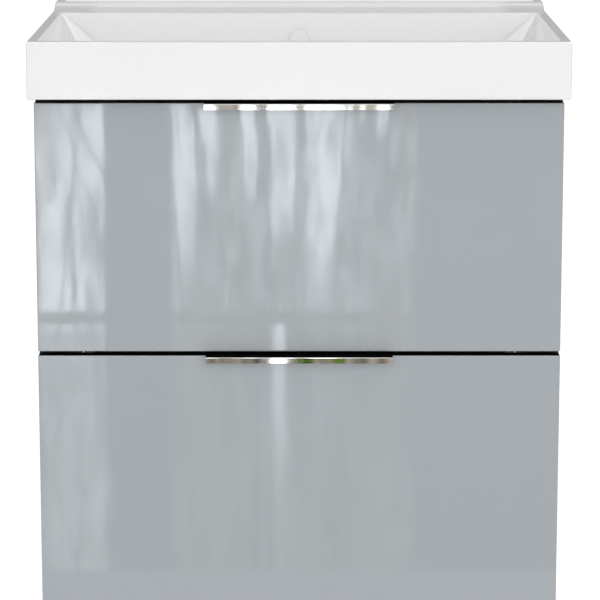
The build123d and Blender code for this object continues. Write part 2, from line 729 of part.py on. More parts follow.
with BuildPart() as waste_body:
    with BuildSketch(Plane.XZ.offset(-DRAIN_Y)):
        with BuildLine():
            Polyline(
                (WASTE_BORE, DRAIN_FLOOR - 2),
                (FLANGE, DRAIN_FLOOR),
                (FLANGE + 0.5, DRAIN_FLOOR - 0.8),
                (FLANGE - 1, DRAIN_FLOOR - WASTE_RECESS),
                (WASTE_TUBE, DRAIN_FLOOR - WASTE_RECESS),
                (WASTE_TUBE, WASTE_END),
                (WASTE_BORE, WASTE_END),
                close=True,
            )
        make_face()
    revolve(axis=Axis((0, DRAIN_Y, 0), (0, 0, 1)))
    # The branch that takes the overflow hose.
    with Locations(facing(0, DRAIN_Y, HORN_Z, (0, 1, 0))):
        Cylinder(HORN_RADIUS, HORN_REACH, align=(Align.CENTER, Align.CENTER, Align.MIN))
        Cylinder(
            HORN_BORE,
            2 * HORN_REACH,
            align=(Align.CENTER, Align.CENTER, Align.MIN),
            mode=Mode.SUBTRACT,
        )
    with Locations((0, DRAIN_Y, WASTE_END)):
        Cylinder(
            WASTE_BORE,
            DRAIN_FLOOR - WASTE_END,
            align=(Align.CENTER, Align.CENTER, Align.MIN),
            mode=Mode.SUBTRACT,
        )
    # Three spokes hold the guide of the plug's stem.
    with Locations((0, DRAIN_Y, DRAIN_FLOOR - GUIDE_BELOW)):
        with PolarLocations(WASTE_BORE / 2 + STEM / 2 + 1, 3, start_angle=90):
            Box(WASTE_BORE - STEM, 2, 6)
        Cylinder(STEM + 3, 10)
        Cylinder(STEM + RUNNING, 12, mode=Mode.SUBTRACT)
save(waste_body, "waste_body")

# The plug rests on the flange with its dome just proud, and lifts to let the water out.
with BuildPart() as waste_plug:
    with BuildSketch(Plane.XZ.offset(-DRAIN_Y)):
        with BuildLine():
            Polyline(
                (0, DRAIN_FLOOR + PLUG_DOME),
                (0, DRAIN_FLOOR - PLUG_STEM_END),
                (STEM, DRAIN_FLOOR - PLUG_STEM_END),
                (STEM, DRAIN_FLOOR - PLUG_RIM),
                (WASTE_BORE - 1, DRAIN_FLOOR - PLUG_RIM),
                (WASTE_BORE - 1, DRAIN_FLOOR + PLUG_LIFTED),
                (PLUG_RADIUS - 1, DRAIN_FLOOR + PLUG_LIFTED),
                (PLUG_RADIUS, DRAIN_FLOOR + PLUG_RIM),
            )
            TangentArc(
                (0, DRAIN_FLOOR + PLUG_DOME),
                (PLUG_RADIUS, DRAIN_FLOOR + PLUG_RIM),
                tangent=(1, 0),
            )
        make_face()
    revolve(axis=Axis((0, DRAIN_Y, 0), (0, 0, 1)))
save(waste_plug, "waste_plug")

with BuildPart() as waste_gasket:
    washer(facing(0, DRAIN_Y, NUT_TOP, (0, 0, 1)), FLANGE + 1, WASTE_TUBE + PIPE_PLAY, GASKET)
save(waste_gasket, "waste_gasket")

fasteners(
    "waste_nut",
    [facing(0, DRAIN_Y, NUT_TOP - NUT_HEIGHT, (0, 0, 1))],
    ribbed_nut(FLANGE - 1, WASTE_TUBE + PIPE_PLAY, NUT_HEIGHT),
)

# Behind the bowl's back wall, an elbow and a hose lead the overflow to the waste's branch.
ELBOW_START = OVERFLOW_PLANE.from_local_coords((0, 0, -BOSS_BACK))
ELBOW_CORNER = OVERFLOW_PLANE.from_local_coords((0, 0, -BOSS_BACK - ELBOW_RUN))
ELBOW_END_Z = ELBOW_CORNER.Z - ELBOW_DROP
with BuildPart() as overflow_elbow:
    add(
        bent_pipe(
            [ELBOW_START, ELBOW_CORNER, (0, ELBOW_CORNER.Y, ELBOW_END_Z)],
            ELBOW_BEND,
            HORN_RADIUS,
            ELBOW_WALL,
        )
    )
    with Locations(OVERFLOW_PLANE.offset(-BOSS_BACK)):
        Cylinder(BOSS_RADIUS - 2, 3, align=(Align.CENTER, Align.CENTER, Align.MAX))
        Cylinder(HORN_RADIUS - ELBOW_WALL, 8, mode=Mode.SUBTRACT)
save(overflow_elbow, "overflow_elbow")

with BuildPart() as overflow_hose:
    add(
        bent_pipe(
            [
                (0, ELBOW_CORNER.Y, ELBOW_END_Z + 8),
                (0, ELBOW_CORNER.Y, HORN_Z),
                (0, DRAIN_Y + HORN_REACH - HOSE_GRIP, HORN_Z),
            ],
            HOSE_BEND,
            HOSE / 2,
            HOSE_WALL,
        )
    )
save(overflow_hose, "overflow_hose")

# A flat trap: back over the upper drawer, then down into a cup between the drawers and the wall.
with BuildPart() as trap_pipe:
    add(
        bent_pipe(
            [
                (0, DRAIN_Y, WASTE_END),
                (0, DRAIN_Y, PIPE_RUN_Z),
                (0, TRAP_Y, PIPE_RUN_Z),
                (0, TRAP_Y, CUP_BOTTOM + TRAP_DIP),
            ],
            PIPE_BEND,
            PIPE / 2,
            PIPE_WALL,
        )
    )
save(trap_pipe, "trap_pipe")

with BuildPart() as trap_cup:
    with Locations((0, TRAP_Y, CUP_BOTTOM)):
        Cylinder(
            TRAP_CUP / 2, CUP_TOP - CUP_BOTTOM, align=(Align.CENTER, Align.CENTER, Align.MIN)
        )
    fillet(trap_cup.edges().filter_by(GeomType.CIRCLE).sort_by(Axis.Z)[0], TRAP_CUP_FOOT)
    offset(amount=-TRAP_WALL, openings=trap_cup.faces().sort_by(Axis.Z)[-1])
    with Locations(facing(0, COLLAR_Y, OUTLET_Z, (0, 1, 0))):
        Cylinder(PIPE / 2 + 4, COLLAR, align=(Align.CENTER, Align.CENTER, Align.MAX))
    with Locations(facing(0, TRAP_Y, OUTLET_Z, (0, 1, 0))):
        Cylinder(
            PIPE / 2 + PIPE_PLAY,
            TRAP_BACK,
            align=(Align.CENTER, Align.CENTER, Align.MIN),
            mode=Mode.SUBTRACT,
        )
save(trap_cup, "trap_cup")

# The last stretch of the pipe, past its bead, is bare for the seal in the wall.
OUTLET_START = TRAP_Y + TRAP_CUP / 2 - TRAP_WALL
with BuildPart() as outlet_pipe:
    with Locations(facing(0, -SPIGOT, OUTLET_Z, (0, 1, 0))):
        Cylinder(PIPE / 2 + 1.2, 2, align=(Align.CENTER, Align.CENTER, Align.MAX))
    with Locations(facing(0, OUTLET_START, OUTLET_Z, (0, 1, 0))):
        Cylinder(PIPE / 2, -OUTLET_START, align=(Align.CENTER, Align.CENTER, Align.MIN))
        Cylinder(PIPE / 2 - PIPE_WALL, 3 * TRAP_BACK, mode=Mode.SUBTRACT)
save(outlet_pipe, "outlet_pipe")

with BuildPart() as trap_lid:
    with Locations((0, TRAP_Y, CUP_TOP)):
        add(ribbed_nut(TRAP_CUP / 2 + 1, PIPE / 2 + PIPE_PLAY, TRAP_LID))
save(trap_lid, "trap_lid")

fasteners(
    "trap_nuts",
    [
        facing(0, DRAIN_Y, WASTE_END - 0.5, (0, 0, -1)),
        facing(0, COLLAR_Y, OUTLET_Z, (0, 1, 0)),
    ],
    ribbed_nut(PIPE / 2 + 7, PIPE / 2 + PIPE_PLAY, NUT_HEIGHT),
)


# ------------------------------------------------------------------ drawer slides
# Distances across each slide are measured from the carcass side towards the drawer.
OUTER = {"web": 0.0, "tips": 9.5, "half": 22.5}
MIDDLE = {"web": 2.6, "tips": 10.2, "half": 17.5}
INNER = {"web": SLIDE_SPACE, "tips": 5.0, "half": 12.5}
BALL_SPACING = (CAGE_LENGTH - 2 * BALLS_FROM_END) / (BALLS_PER_ROW - 1)
OUTER_BALLS = {"at": 6.3, "rail": (4.2, 8.4), "height": 19.4}
INNER_BALLS = {"at": 7.6, "rail": (5.6, 9.8), "height": 14.4}


def channel(side, middle_z, web, tips, half):
    """A rolled steel channel as long as the slide, its web at one distance across."""
    x_web = side * (INSIDE - web)
    x_tip = side * (INSIDE - tips)
    x_skin = x_web + copysign(SLIDE_STEEL, x_tip - x_web)
    low, high = middle_z - half, middle_z + half
    with BuildPart() as member:
        with BuildSketch(Plane.XZ.offset(-SLIDE_BACK)) as section:
            with BuildLine():
                Polyline(
                    (x_tip, high),
                    (x_web, high),
                    (x_web, low),
                    (x_tip, low),
                    (x_tip, low + SLIDE_STEEL),
                    (x_skin, low + SLIDE_STEEL),
                    (x_skin, high - SLIDE_STEEL),
                    (x_tip, high - SLIDE_STEEL),
                    close=True,
                )
            make_face()
            fillet(section.vertices().filter_by(lambda v: isclose(v.X, x_web)), CHANNEL_BEND)
            fillet(
                section.vertices().filter_by(lambda v: isclose(v.X, x_skin)),
                CHANNEL_BEND - SLIDE_STEEL,
            )
        extrude(amount=SLIDE_LENGTH)
    return member.part


def ball_cage(side, middle_z, at, rail, height):
    """The two plastic rails of a ball cage, one above and one below, with their steel balls."""
    middle_y = SLIDE_BACK - SLIDE_LENGTH / 2
    ends = (middle_y - CAGE_LENGTH / 2, middle_y + CAGE_LENGTH / 2)
    with BuildPart() as cage:
        for z in (middle_z - height, middle_z + height):
            level = (z - CAGE_RAIL / 2, z + CAGE_RAIL / 2)
            block(across(side, INSIDE - rail[1], INSIDE - rail[0]), ends, level)
            with Locations((side * (INSIDE - at), middle_y, z)):
                with GridLocations(0, BALL_SPACING, 1, BALLS_PER_ROW):
                    Sphere(BALL / 2)
    return cage.part


for drawer in DRAWERS:
    level = slide_middle(drawer)
    with BuildPart() as slide_outers:
        for side in SIDES.values():
            add(channel(side, level, **OUTER))
            holes = [plane for plane in carcass_slide_screws(side) if plane.origin.Z == level]
            drill(holes, SCREW / 2 + SCREW_PLAY, SLIDE_STEEL)
    save(slide_outers, f"{drawer}_slide_outers")
    for name, side in SIDES.items():
        with BuildPart() as slide_inner:
            add(channel(side, level, **INNER))
            drill(box_slide_screws(drawer, side), SCREW / 2 + SCREW_PLAY, SLIDE_STEEL)
        save(slide_inner, f"{drawer}_slide_inner_{name}")
    with BuildPart() as slide_middles:
        for side in SIDES.values():
            add(channel(side, level, **MIDDLE))
    save(slide_middles, f"{drawer}_slide_middles")
    for name, balls in (("outer", OUTER_BALLS), ("inner", INNER_BALLS)):
        with BuildPart() as cages:
            for side in SIDES.values():
                add(ball_cage(side, level, **balls))
        save(cages, f"{drawer}_{name}_cages")

fasteners(
    "carcass_slide_screws",
    [plane for side in SIDES.values() for plane in carcass_slide_screws(side)],
    pan_head_screw(SCREW / 2, CARCASS_SLIDE_SCREW, PAN_HEAD, SLIM_HEAD),
)


# ------------------------------------------------------------------ drawers
def drawer_front(drawer):
    """A lacquered front, drilled for the handle and the box."""
    low, high = DRAWERS[drawer]["front"], front_top(drawer)
    with BuildPart() as front:
        block((-HALF, HALF), (FRONT_FACE, FRONT_BACK), (low, high))
        fillet(front.edges(), FRONT_EDGE)
        backs = [
            facing(plane.origin.X, FRONT_BACK, plane.origin.Z, (0, 1, 0))
            for plane in front_screws(drawer)
        ]
        drill(backs, SCREW / 2 + PILOT_PLAY, FRONT_SCREW - BOX_BOARD + BLIND)
        tops = [
            facing(plane.origin.X, plane.origin.Y, high, (0, 0, 1))
            for plane in handle_screws(drawer)
        ]
        drill(tops, HANDLE_SCREW / 2 + PILOT_PLAY, HANDLE_SCREW_LENGTH + BLIND)
    save(front, f"{drawer}_drawer_front")


def edge_pull(drawer):
    """A strip handle: a plate on the front's top edge, bent down into a lip before its face."""
    top = front_top(drawer) + HANDLE_STEEL
    lip = FRONT_FACE - HANDLE_REACH
    foot = FRONT_FACE + HANDLE_FOOT
    with BuildPart() as handle:
        with BuildSketch(Plane.YZ.offset(-HANDLE_LENGTH / 2)) as profile:
            with BuildLine():
                Polyline(
                    (foot, top),
                    (lip, top),
                    (lip, top - HANDLE_LIP),
                    (lip + HANDLE_STEEL, top - HANDLE_LIP),
                    (lip + HANDLE_STEEL, top - HANDLE_STEEL),
                    (foot, top - HANDLE_STEEL),
                    close=True,
                )
            make_face()
            corners = profile.vertices()
            fillet(corners.filter_by(lambda v: isclose(v.X, lip)).sort_by(Axis.Y)[-1], HANDLE_BEND)
            fillet(corners.filter_by(lambda v: isclose(v.Y, top - HANDLE_LIP)), HANDLE_EDGE)
        extrude(amount=HANDLE_LENGTH)
        sinks = [plane.origin for plane in handle_screws(drawer)]
        with Locations(*sinks):
            CounterSinkHole(
                HANDLE_SCREW / 2 + SINK_PLAY,
                HANDLE_SCREW_HEAD + SINK_PLAY,
                depth=2 * HANDLE_STEEL,
                counter_sink_angle=90,
            )
    save(handle, f"{drawer}_handle")


def box_side(drawer, name, side):
    """One drawer side, grooved for the bottom."""
    low = DRAWERS[drawer]["box"]
    high = low + DRAWERS[drawer]["height"]
    with BuildPart() as panel:
        block(across(side, BOX_HALF - BOX_BOARD, BOX_HALF), (BOX_FRONT, BOX_BACK), (low, high))
        fillet(panel.edges().filter_by(Axis.Y).group_by(Axis.Z)[-1], BOX_EDGE)
        block(
            across(side, BOX_HALF - BOX_BOARD, BOX_HALF - BOX_BOARD + GROOVE_DEPTH),
            (BOX_FRONT, BOX_BACK),
            (low + GROOVE_HEIGHT, low + GROOVE_HEIGHT + BOX_BOTTOM + GROOVE_PLAY),
            mode=Mode.SUBTRACT,
        )
        pilots = [
            facing(side * BOX_HALF, plane.origin.Y, plane.origin.Z, (side, 0, 0))
            for plane in box_slide_screws(drawer, side)
        ]
        drill(pilots, SCREW / 2 + PILOT_PLAY, BOX_SLIDE_SCREW - SLIDE_STEEL + BLIND / 2)
    save(panel, f"{drawer}_box_side_{name}")


def box_ends(drawer):
    """The boards that close the box in front, grooved for the bottom, and behind, above it."""
    low = DRAWERS[drawer]["box"]
    high = low + DRAWERS[drawer]["height"]
    between = (BOX_BOARD - BOX_HALF, BOX_HALF - BOX_BOARD)
    groove_top = low + GROOVE_HEIGHT + BOX_BOTTOM + GROOVE_PLAY
    with BuildPart() as box_front:
        block(between, (BOX_FRONT, BOX_FRONT + BOX_BOARD), (low, high))
        fillet(box_front.edges().filter_by(Axis.X).group_by(Axis.Z)[-1], BOX_EDGE)
        block(
            between,
            (BOX_FRONT + BOX_BOARD - GROOVE_DEPTH, BOX_FRONT + BOX_BOARD),
            (low + GROOVE_HEIGHT, groove_top),
            mode=Mode.SUBTRACT,
        )
        drill(front_screws(drawer), SCREW / 2 + SCREW_PLAY, BOX_BOARD)
    save(box_front, f"{drawer}_box_front")
    with BuildPart() as box_back:
        block(between, (BOX_BACK - BOX_BOARD, BOX_BACK), (groove_top, high))
        fillet(box_back.edges().filter_by(Axis.X).group_by(Axis.Z)[-1], BOX_EDGE)
    save(box_back, f"{drawer}_box_back")


def box_bottom(drawer):
    """The drawer's bottom, let into the sides and the front board."""
    low = DRAWERS[drawer]["box"] + GROOVE_HEIGHT
    half = BOX_HALF - BOX_BOARD + GROOVE_DEPTH - GROOVE_PLAY
    with BuildPart() as bottom:
        block(
            (-half, half),
            (BOX_FRONT + BOX_BOARD - GROOVE_DEPTH + GROOVE_PLAY, BOX_BACK),
            (low, low + BOX_BOTTOM),
        )
    save(bottom, f"{drawer}_box_bottom")


for drawer in DRAWERS:
    drawer_front(drawer)
    edge_pull(drawer)
    fasteners(
        f"{drawer}_handle_screws",
        handle_screws(drawer),
        countersunk_screw(HANDLE_SCREW / 2, HANDLE_SCREW_LENGTH, HANDLE_SCREW_HEAD),
    )
    for name, side in SIDES.items():
        box_side(drawer, name, side)
    box_ends(drawer)
    box_bottom(drawer)
    fasteners(
        f"{drawer}_front_screws",
        front_screws(drawer),
        pan_head_screw(SCREW / 2, FRONT_SCREW, PAN_HEAD, PAN_HEAD_HEIGHT),
    )
    fasteners(
        f"{drawer}_slide_screws",
        [plane for side in SIDES.values() for plane in box_slide_screws(drawer, side)],
        pan_head_screw(SCREW / 2, BOX_SLIDE_SCREW, PAN_HEAD, LOW_HEAD),
    )
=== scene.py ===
import json
from math import cos, pi, radians, sin

import bmesh
import bpy
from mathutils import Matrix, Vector

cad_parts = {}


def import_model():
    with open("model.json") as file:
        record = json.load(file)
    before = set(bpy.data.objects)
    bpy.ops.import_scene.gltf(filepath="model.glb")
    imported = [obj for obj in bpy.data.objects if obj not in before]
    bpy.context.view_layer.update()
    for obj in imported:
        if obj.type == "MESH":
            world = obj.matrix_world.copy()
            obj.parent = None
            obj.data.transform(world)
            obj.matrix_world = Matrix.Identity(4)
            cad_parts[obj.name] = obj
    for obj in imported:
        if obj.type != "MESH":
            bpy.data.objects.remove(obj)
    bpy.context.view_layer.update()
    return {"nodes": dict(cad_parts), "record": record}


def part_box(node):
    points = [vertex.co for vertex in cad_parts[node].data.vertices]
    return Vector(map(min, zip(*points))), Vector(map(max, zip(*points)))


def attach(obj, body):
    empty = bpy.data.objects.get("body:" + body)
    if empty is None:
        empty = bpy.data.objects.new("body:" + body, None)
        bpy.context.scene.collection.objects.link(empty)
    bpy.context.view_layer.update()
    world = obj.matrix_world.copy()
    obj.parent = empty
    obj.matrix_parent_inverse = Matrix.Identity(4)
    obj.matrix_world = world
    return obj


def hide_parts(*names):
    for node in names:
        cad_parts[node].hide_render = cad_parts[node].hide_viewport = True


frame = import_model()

# ------------------------------------------------------------------ places read from the frame
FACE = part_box("lower_drawer_front")[0].y
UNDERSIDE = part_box("side_panel_left")[0].z
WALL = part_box("basin")[1].y
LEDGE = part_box("basin")[1].z

# ------------------------------------------------------------------ camera, lights and cards
CAMERA_AT = Vector((0.001, -3.717, 0.445))
CAMERA_PITCH = radians(11.1)
CAMERA_LENS = 174.0
FLOOR_BELOW = 0.30
FLOOR_SPAN = 60.0
WORLD_STRENGTH = 0.58
LIGHTS = (  # name, place, size and power
    ("key", (0.9, -4.2, 1.2), (4.6, 2.4), 47.0),
    ("fill", (-0.5, -4.2, 0.05), (3.6, 1.2), 22.5),
)
LIGHT_AIM = (0.0, -0.3, -0.1)

BARE_EDGE = 0.0008  # depth of the bare chipboard at the carcass's rear edges
CAGE_BALL = 0.0016  # radius of the slides' balls
CAGE_RAIL = 0.00045  # half the height of a cage's rail

# The card in front of the drawer fronts, as the gloss sees it: two tall panes of daylight.
CARD_DISTANCE = 1.13
CARD_HALF_WIDTH = 0.9
CARD_TOP = -0.106  # low enough for the basin's front to look over it
SILL = -0.442
SILL_HALF = 0.010
DAYLIGHT = (6.9, 7.35, 7.5)
LIP_DAYLIGHT = (2.0, 2.0, 1.95)
PANES = ((-0.349, 0.051), (-0.009, 0.187))  # middle and half width of each reflected pane
# Sky between the trees of the right pane: the middle at the card's top, the half width, how far
# it reaches down, and its lean to the right per metre down.
SKY_GAPS = (
    (-0.180, 0.0170, 0.25, 0.05),
    (-0.140, 0.0125, 0.13, 0.04),
    (-0.076, 0.0110, 0.14, 0.02),
    (-0.026, 0.0210, 0.20, 0.00),
    (0.038, 0.0290, 0.29, -0.02),
    (0.0755, 0.0030, 0.10, 0.00),
    (0.094, 0.0035, 0.04, 0.00),
    (0.124, 0.0110, 0.05, 0.00),
)
# Branches that cross the left pane: the same, without the reach.
BRANCHES = ((-0.345, 0.0040, 0.42), (-0.366, 0.0028, 0.30), (-0.330, 0.0022, -0.12))
HEDGE = -0.504
HEDGE_HALF = 0.022
FLARE = (-0.030, 0.009)  # the one bright gap that goes on below the sill
LAWNS = ((0.008, 0.012), (0.060, 0.011))  # middle and half width
POST = (-0.0655, 0.0040)
LIP_STRIP = -0.1185  # above this, only the upper handle sees the middle of the card
LIP_STRIP_HALF = 0.17


# ------------------------------------------------------------------ node materials
class Recipe:
    """A Principled material being written, with short calls for its nodes. Colours are linear."""

    def __init__(self, name):
        self.material = bpy.data.materials.new(name)
        self.material.use_nodes = True
        self.tree = self.material.node_tree
        self.shader = self.tree.nodes["Principled BSDF"]
        self.place = self.node("ShaderNodeTexCoord").outputs["Object"]

    def node(self, kind, inputs=None, **settings):
        made = self.tree.nodes.new(kind)
        for key, value in settings.items():
            setattr(made, key, value)
        for key, value in (inputs or {}).items():
            self.feed(made.inputs[key], value)
        return made

    def feed(self, socket, value):
        """Links a socket to another, or sets it to a value."""
        if isinstance(value, bpy.types.NodeSocket):
            self.tree.links.new(value, socket)
        else:
            socket.default_value = value

    def set(self, **values):
        """Sets or links the shader's sockets; an underscore stands for a space."""
        for key, value in values.items():
            self.feed(self.shader.inputs[key.replace("_", " ")], value)

    def stretched(self, scale):
        """The object coordinates times a scale for each axis."""
        return self.node("ShaderNodeMapping", {"Vector": self.place, "Scale": scale}).outputs[0]

    def noise(self, size, detail=3.0, rough=0.5, stretch=(1, 1, 1), distortion=0.0):
        """Noise from 0 to 1 whose lumps are about size metres, times stretch along each axis."""
        scale = tuple(1 / (size * s) for s in stretch)
        inputs = {
            "Vector": self.stretched(scale),
            "Scale": 1.0,
            "Detail": detail,
            "Roughness": rough,
            "Distortion": distortion,
        }
        return self.node("ShaderNodeTexNoise", inputs).outputs["Fac"]

    def cell_tone(self, size, stretch=(1, 1, 1)):
        """One value from 0 to 1 for each cell of about size metres."""
        scale = tuple(1 / (size * s) for s in stretch)
        inputs = {"Vector": self.stretched(scale), "Scale": 1.0}
        cells = self.node("ShaderNodeTexVoronoi", inputs).outputs["Color"]
        return self.node("ShaderNodeSeparateColor", {"Color": cells}).outputs["Red"]

    def math(self, operation, a, b=0.0):
        made = self.node("ShaderNodeMath", operation=operation)
        for socket, value in zip(made.inputs, (a, b)):
            self.feed(socket, value)
        return made.outputs[0]

    def span(self, value, low, high, start=0.0, end=1.0):
        """Maps low..high smoothly onto start..end, held at both ends."""
        inputs = {
            "Value": value,
            "From Min": low,
            "From Max": high,
            "To Min": start,
            "To Max": end,
        }
        made = self.node("ShaderNodeMapRange", inputs, interpolation_type="SMOOTHSTEP")
        return made.outputs["Result"]

    def mix(self, share, a, b):
        """A colour from a to b."""
        made = self.node("ShaderNodeMix", data_type="RGBA")
        self.feed(made.inputs["Factor"], share)
        for socket, value in ((made.inputs[6], a), (made.inputs[7], b)):
            self.feed(socket, (*value, 1.0) if isinstance(value, tuple) else value)
        return made.outputs[2]

    def axis(self, name):
        """One object coordinate."""
        return self.node("ShaderNodeSeparateXYZ", {"Vector": self.place}).outputs[name]

    def facing(self, name):
        """One component of the surface's normal, in the object's own axes."""
        normal = self.node("ShaderNodeTexCoord").outputs["Normal"]
        return self.node("ShaderNodeSeparateXYZ", {"Vector": normal}).outputs[name]

    def bump(self, *layers):
        """Height layers as (height, depth in metres), each laid on the one before."""
        normal = None
        for height, depth in layers:
            inputs = {"Height": height, "Distance": depth, "Strength": 1.0}
            made = self.node("ShaderNodeBump", inputs)
            if normal is not None:
                self.feed(made.inputs["Normal"], normal)
            normal = made.outputs["Normal"]
        self.feed(self.shader.inputs["Normal"], normal)


def shade(colour, factor):
    return tuple(part * factor for part in colour)


def gloss_lacquer():
    """High-gloss grey lacquer with a faint orange peel. Edges that face up or down are painted
    black: painted shade for the gaps between the fronts and under the basin.
    """
    recipe = Recipe("gloss_lacquer")
    ground = (0.398, 0.426, 0.450)
    cloud = recipe.noise(0.09, 4, 0.55)
    face = recipe.mix(cloud, shade(ground, 0.985), shade(ground, 1.015))
    # Faces that look straight up or down turn near-black, matt and dull: painted shade that keeps
    # the gaps dark.
    upright = recipe.math("ABSOLUTE", recipe.facing("Z"))
    painted_gap_shade = recipe.span(upright, 0.93, 0.97)
    peel = recipe.noise(0.006, 2, 0.4)
    ripple = recipe.noise(0.05, 2, 0.5, stretch=(1, 1, 2.2))
    smear = recipe.span(recipe.noise(0.03, 5, 0.6, stretch=(1, 1, 3)), 0.35, 0.75, 0.03, 0.06)
    recipe.set(
        Base_Color=recipe.mix(painted_gap_shade, face, (0.006, 0.006, 0.007)),
        Roughness=recipe.math("MAXIMUM", smear, recipe.math("MULTIPLY", painted_gap_shade, 0.9)),
        Specular_IOR_Level=recipe.math("SUBTRACT", 0.55, recipe.math("MULTIPLY", painted_gap_shade, 0.5)),
    )
    recipe.bump((peel, 0.0000035), (ripple, 0.00009))
    return recipe.material


GEL_COAT = ((0.855, 0.86, 0.86), (0.885, 0.885, 0.88))


def gel_coat():
    """White gloss gel coat over cast stone. The faces that look straight down are painted dark grey
    with grit like raw stone: painted shade for the gap under the basin.
    """
    recipe = Recipe("gel_coat")
    cloud = recipe.noise(0.12, 4, 0.6)
    peel = recipe.noise(0.008, 2, 0.4)
    ripple = recipe.noise(0.06, 2, 0.5)
    grit = recipe.noise(0.0016, 4, 0.65)
    # Faces that look straight down get a dark grey with grit, drawn as raw cast stone: painted shade
    # that keeps the gap under the basin dark.
    painted_underside_shade = recipe.span(recipe.facing("Z"), -0.97, -0.93, 1.0, 0.0)
    coat = recipe.mix(cloud, *GEL_COAT)
    painted_shade_grey = recipe.mix(grit, (0.07, 0.068, 0.064), (0.14, 0.136, 0.13))
    polish = recipe.span(recipe.noise(0.02, 5, 0.6), 0.3, 0.8, 0.07, 0.13)
    recipe.set(
        Base_Color=recipe.mix(painted_underside_shade, coat, painted_shade_grey),
        Roughness=recipe.math("MAXIMUM", polish, recipe.math("MULTIPLY", painted_underside_shade, 0.8)),
        IOR=1.5,
        Coat_Weight=0.3,
        Coat_Roughness=0.05,
    )
    recipe.bump((peel, 0.000005), (ripple, 0.00006))
    return recipe.material


def chrome_plate(name="chrome_plate", painted_shade_top=False):
    """Polished chrome with the finest hairlines. A handle's upper face can be painted black: painted
    shade from the gap above the handle.
    """
    recipe = Recipe(name)
    hairs = recipe.noise(0.0006, 3, 0.6, stretch=(60, 1, 1))
    chrome = recipe.mix(recipe.noise(0.02), (0.83, 0.84, 0.85), (0.88, 0.885, 0.89))
    polish = recipe.span(hairs, 0.3, 0.8, 0.03, 0.06)
    if painted_shade_top:
        # Upward faces turn black, matt and non-metallic: painted shade from the gap above the
        # handle.
        top = recipe.span(recipe.facing("Z"), 0.30, 0.60)
        recipe.set(
            Base_Color=recipe.mix(top, chrome, (0.006, 0.006, 0.006)),
            Metallic=recipe.math("SUBTRACT", 1.0, top),
            Roughness=recipe.math("MAXIMUM", polish, recipe.math("MULTIPLY", top, 0.8)),
            Specular_IOR_Level=recipe.math("MULTIPLY", recipe.math("SUBTRACT", 1.0, top), 0.5),
        )
    else:
        recipe.set(Base_Color=chrome, Metallic=1.0, Roughness=polish)
    recipe.bump((recipe.noise(0.03, 2), 0.000004))
    return recipe.material


def carcass_melamine(name, bare_edge):
    """Graphite melamine on chipboard. The bare core can show on the edge towards the wall."""
    recipe = Recipe(name)
    grain = recipe.noise(0.0035, 5, 0.65, stretch=(1, 1, 18), distortion=0.3)
    pores = recipe.noise(0.0012, 3, 0.6, stretch=(1, 1, 9))
    face = recipe.mix(grain, (0.020, 0.021, 0.022), (0.040, 0.041, 0.043))
    tone = recipe.cell_tone(0.0022, (2.2, 1, 1.4))
    core = recipe.mix(tone, (0.20, 0.125, 0.065), (0.42, 0.30, 0.18))
    edge = WALL - BARE_EDGE if bare_edge else WALL + 1.0
    rear = recipe.math("GREATER_THAN", recipe.axis("Y"), edge)
    recipe.set(
        Base_Color=recipe.mix(rear, face, core),
        Roughness=recipe.span(pores, 0.25, 0.8, 0.42, 0.58),
        IOR=1.46,
    )
    recipe.bump((pores, 0.00006), (recipe.math("MULTIPLY", tone, rear), 0.00025))
    return recipe.material


def box_foil():
    """Grey foil with a fine linen emboss, on the drawer boxes."""
    recipe = Recipe("box_foil")
    warp = recipe.noise(0.0009, 2, 0.5, stretch=(1, 14, 1))
    weft = recipe.noise(0.0009, 2, 0.5, stretch=(1, 1, 14))
    weave = recipe.math("MULTIPLY", warp, weft)
    base = recipe.mix(recipe.span(weave, 0.1, 0.4), (0.185, 0.192, 0.2), (0.235, 0.242, 0.25))
    recipe.set(
        Base_Color=base,
        Roughness=recipe.span(weave, 0.1, 0.4, 0.52, 0.4),
        IOR=1.45,
    )
    recipe.bump((weave, 0.0001))
    return recipe.material


def zinc_plate():
    """Bright zinc on rolled steel: faint crystals, and draw lines along the slide."""
    recipe = Recipe("zinc_plate")
    tone = recipe.cell_tone(0.0028)
    lines = recipe.noise(0.0008, 3, 0.6, stretch=(1, 80, 1))
    recipe.set(
        Base_Color=recipe.mix(tone, (0.60, 0.615, 0.63), (0.70, 0.71, 0.72)),
        Metallic=1.0,
        Roughness=recipe.span(recipe.math("ADD", lines, tone), 0.4, 1.4, 0.30, 0.38),
    )
    recipe.bump((lines, 0.000004))
    return recipe.material


def cast_zinc():
    recipe = Recipe("cast_zinc")
    grit = recipe.noise(0.0012, 4, 0.6)
    recipe.set(
        Base_Color=recipe.mix(grit, (0.42, 0.42, 0.41), (0.6, 0.6, 0.58)),
        Metallic=1.0,
        Roughness=recipe.span(grit, 0.2, 0.8, 0.35, 0.55),
    )
    recipe.bump((grit, 0.00005))
    return recipe.material


def plastic(name, dark, light, rough, grit=0.0015, depth=0.00002):
    """Moulded plastic with a fine spark-eroded texture and slow shade changes."""
    recipe = Recipe(name)
    fine = recipe.noise(grit, 3, 0.6)
    recipe.set(
        Base_Color=recipe.mix(recipe.noise(0.03, 4), dark, light),
        Roughness=recipe.span(fine, 0.25, 0.8, rough - 0.06, rough + 0.08),
        IOR=1.47,
    )
    recipe.bump((fine, depth))
    return recipe.material


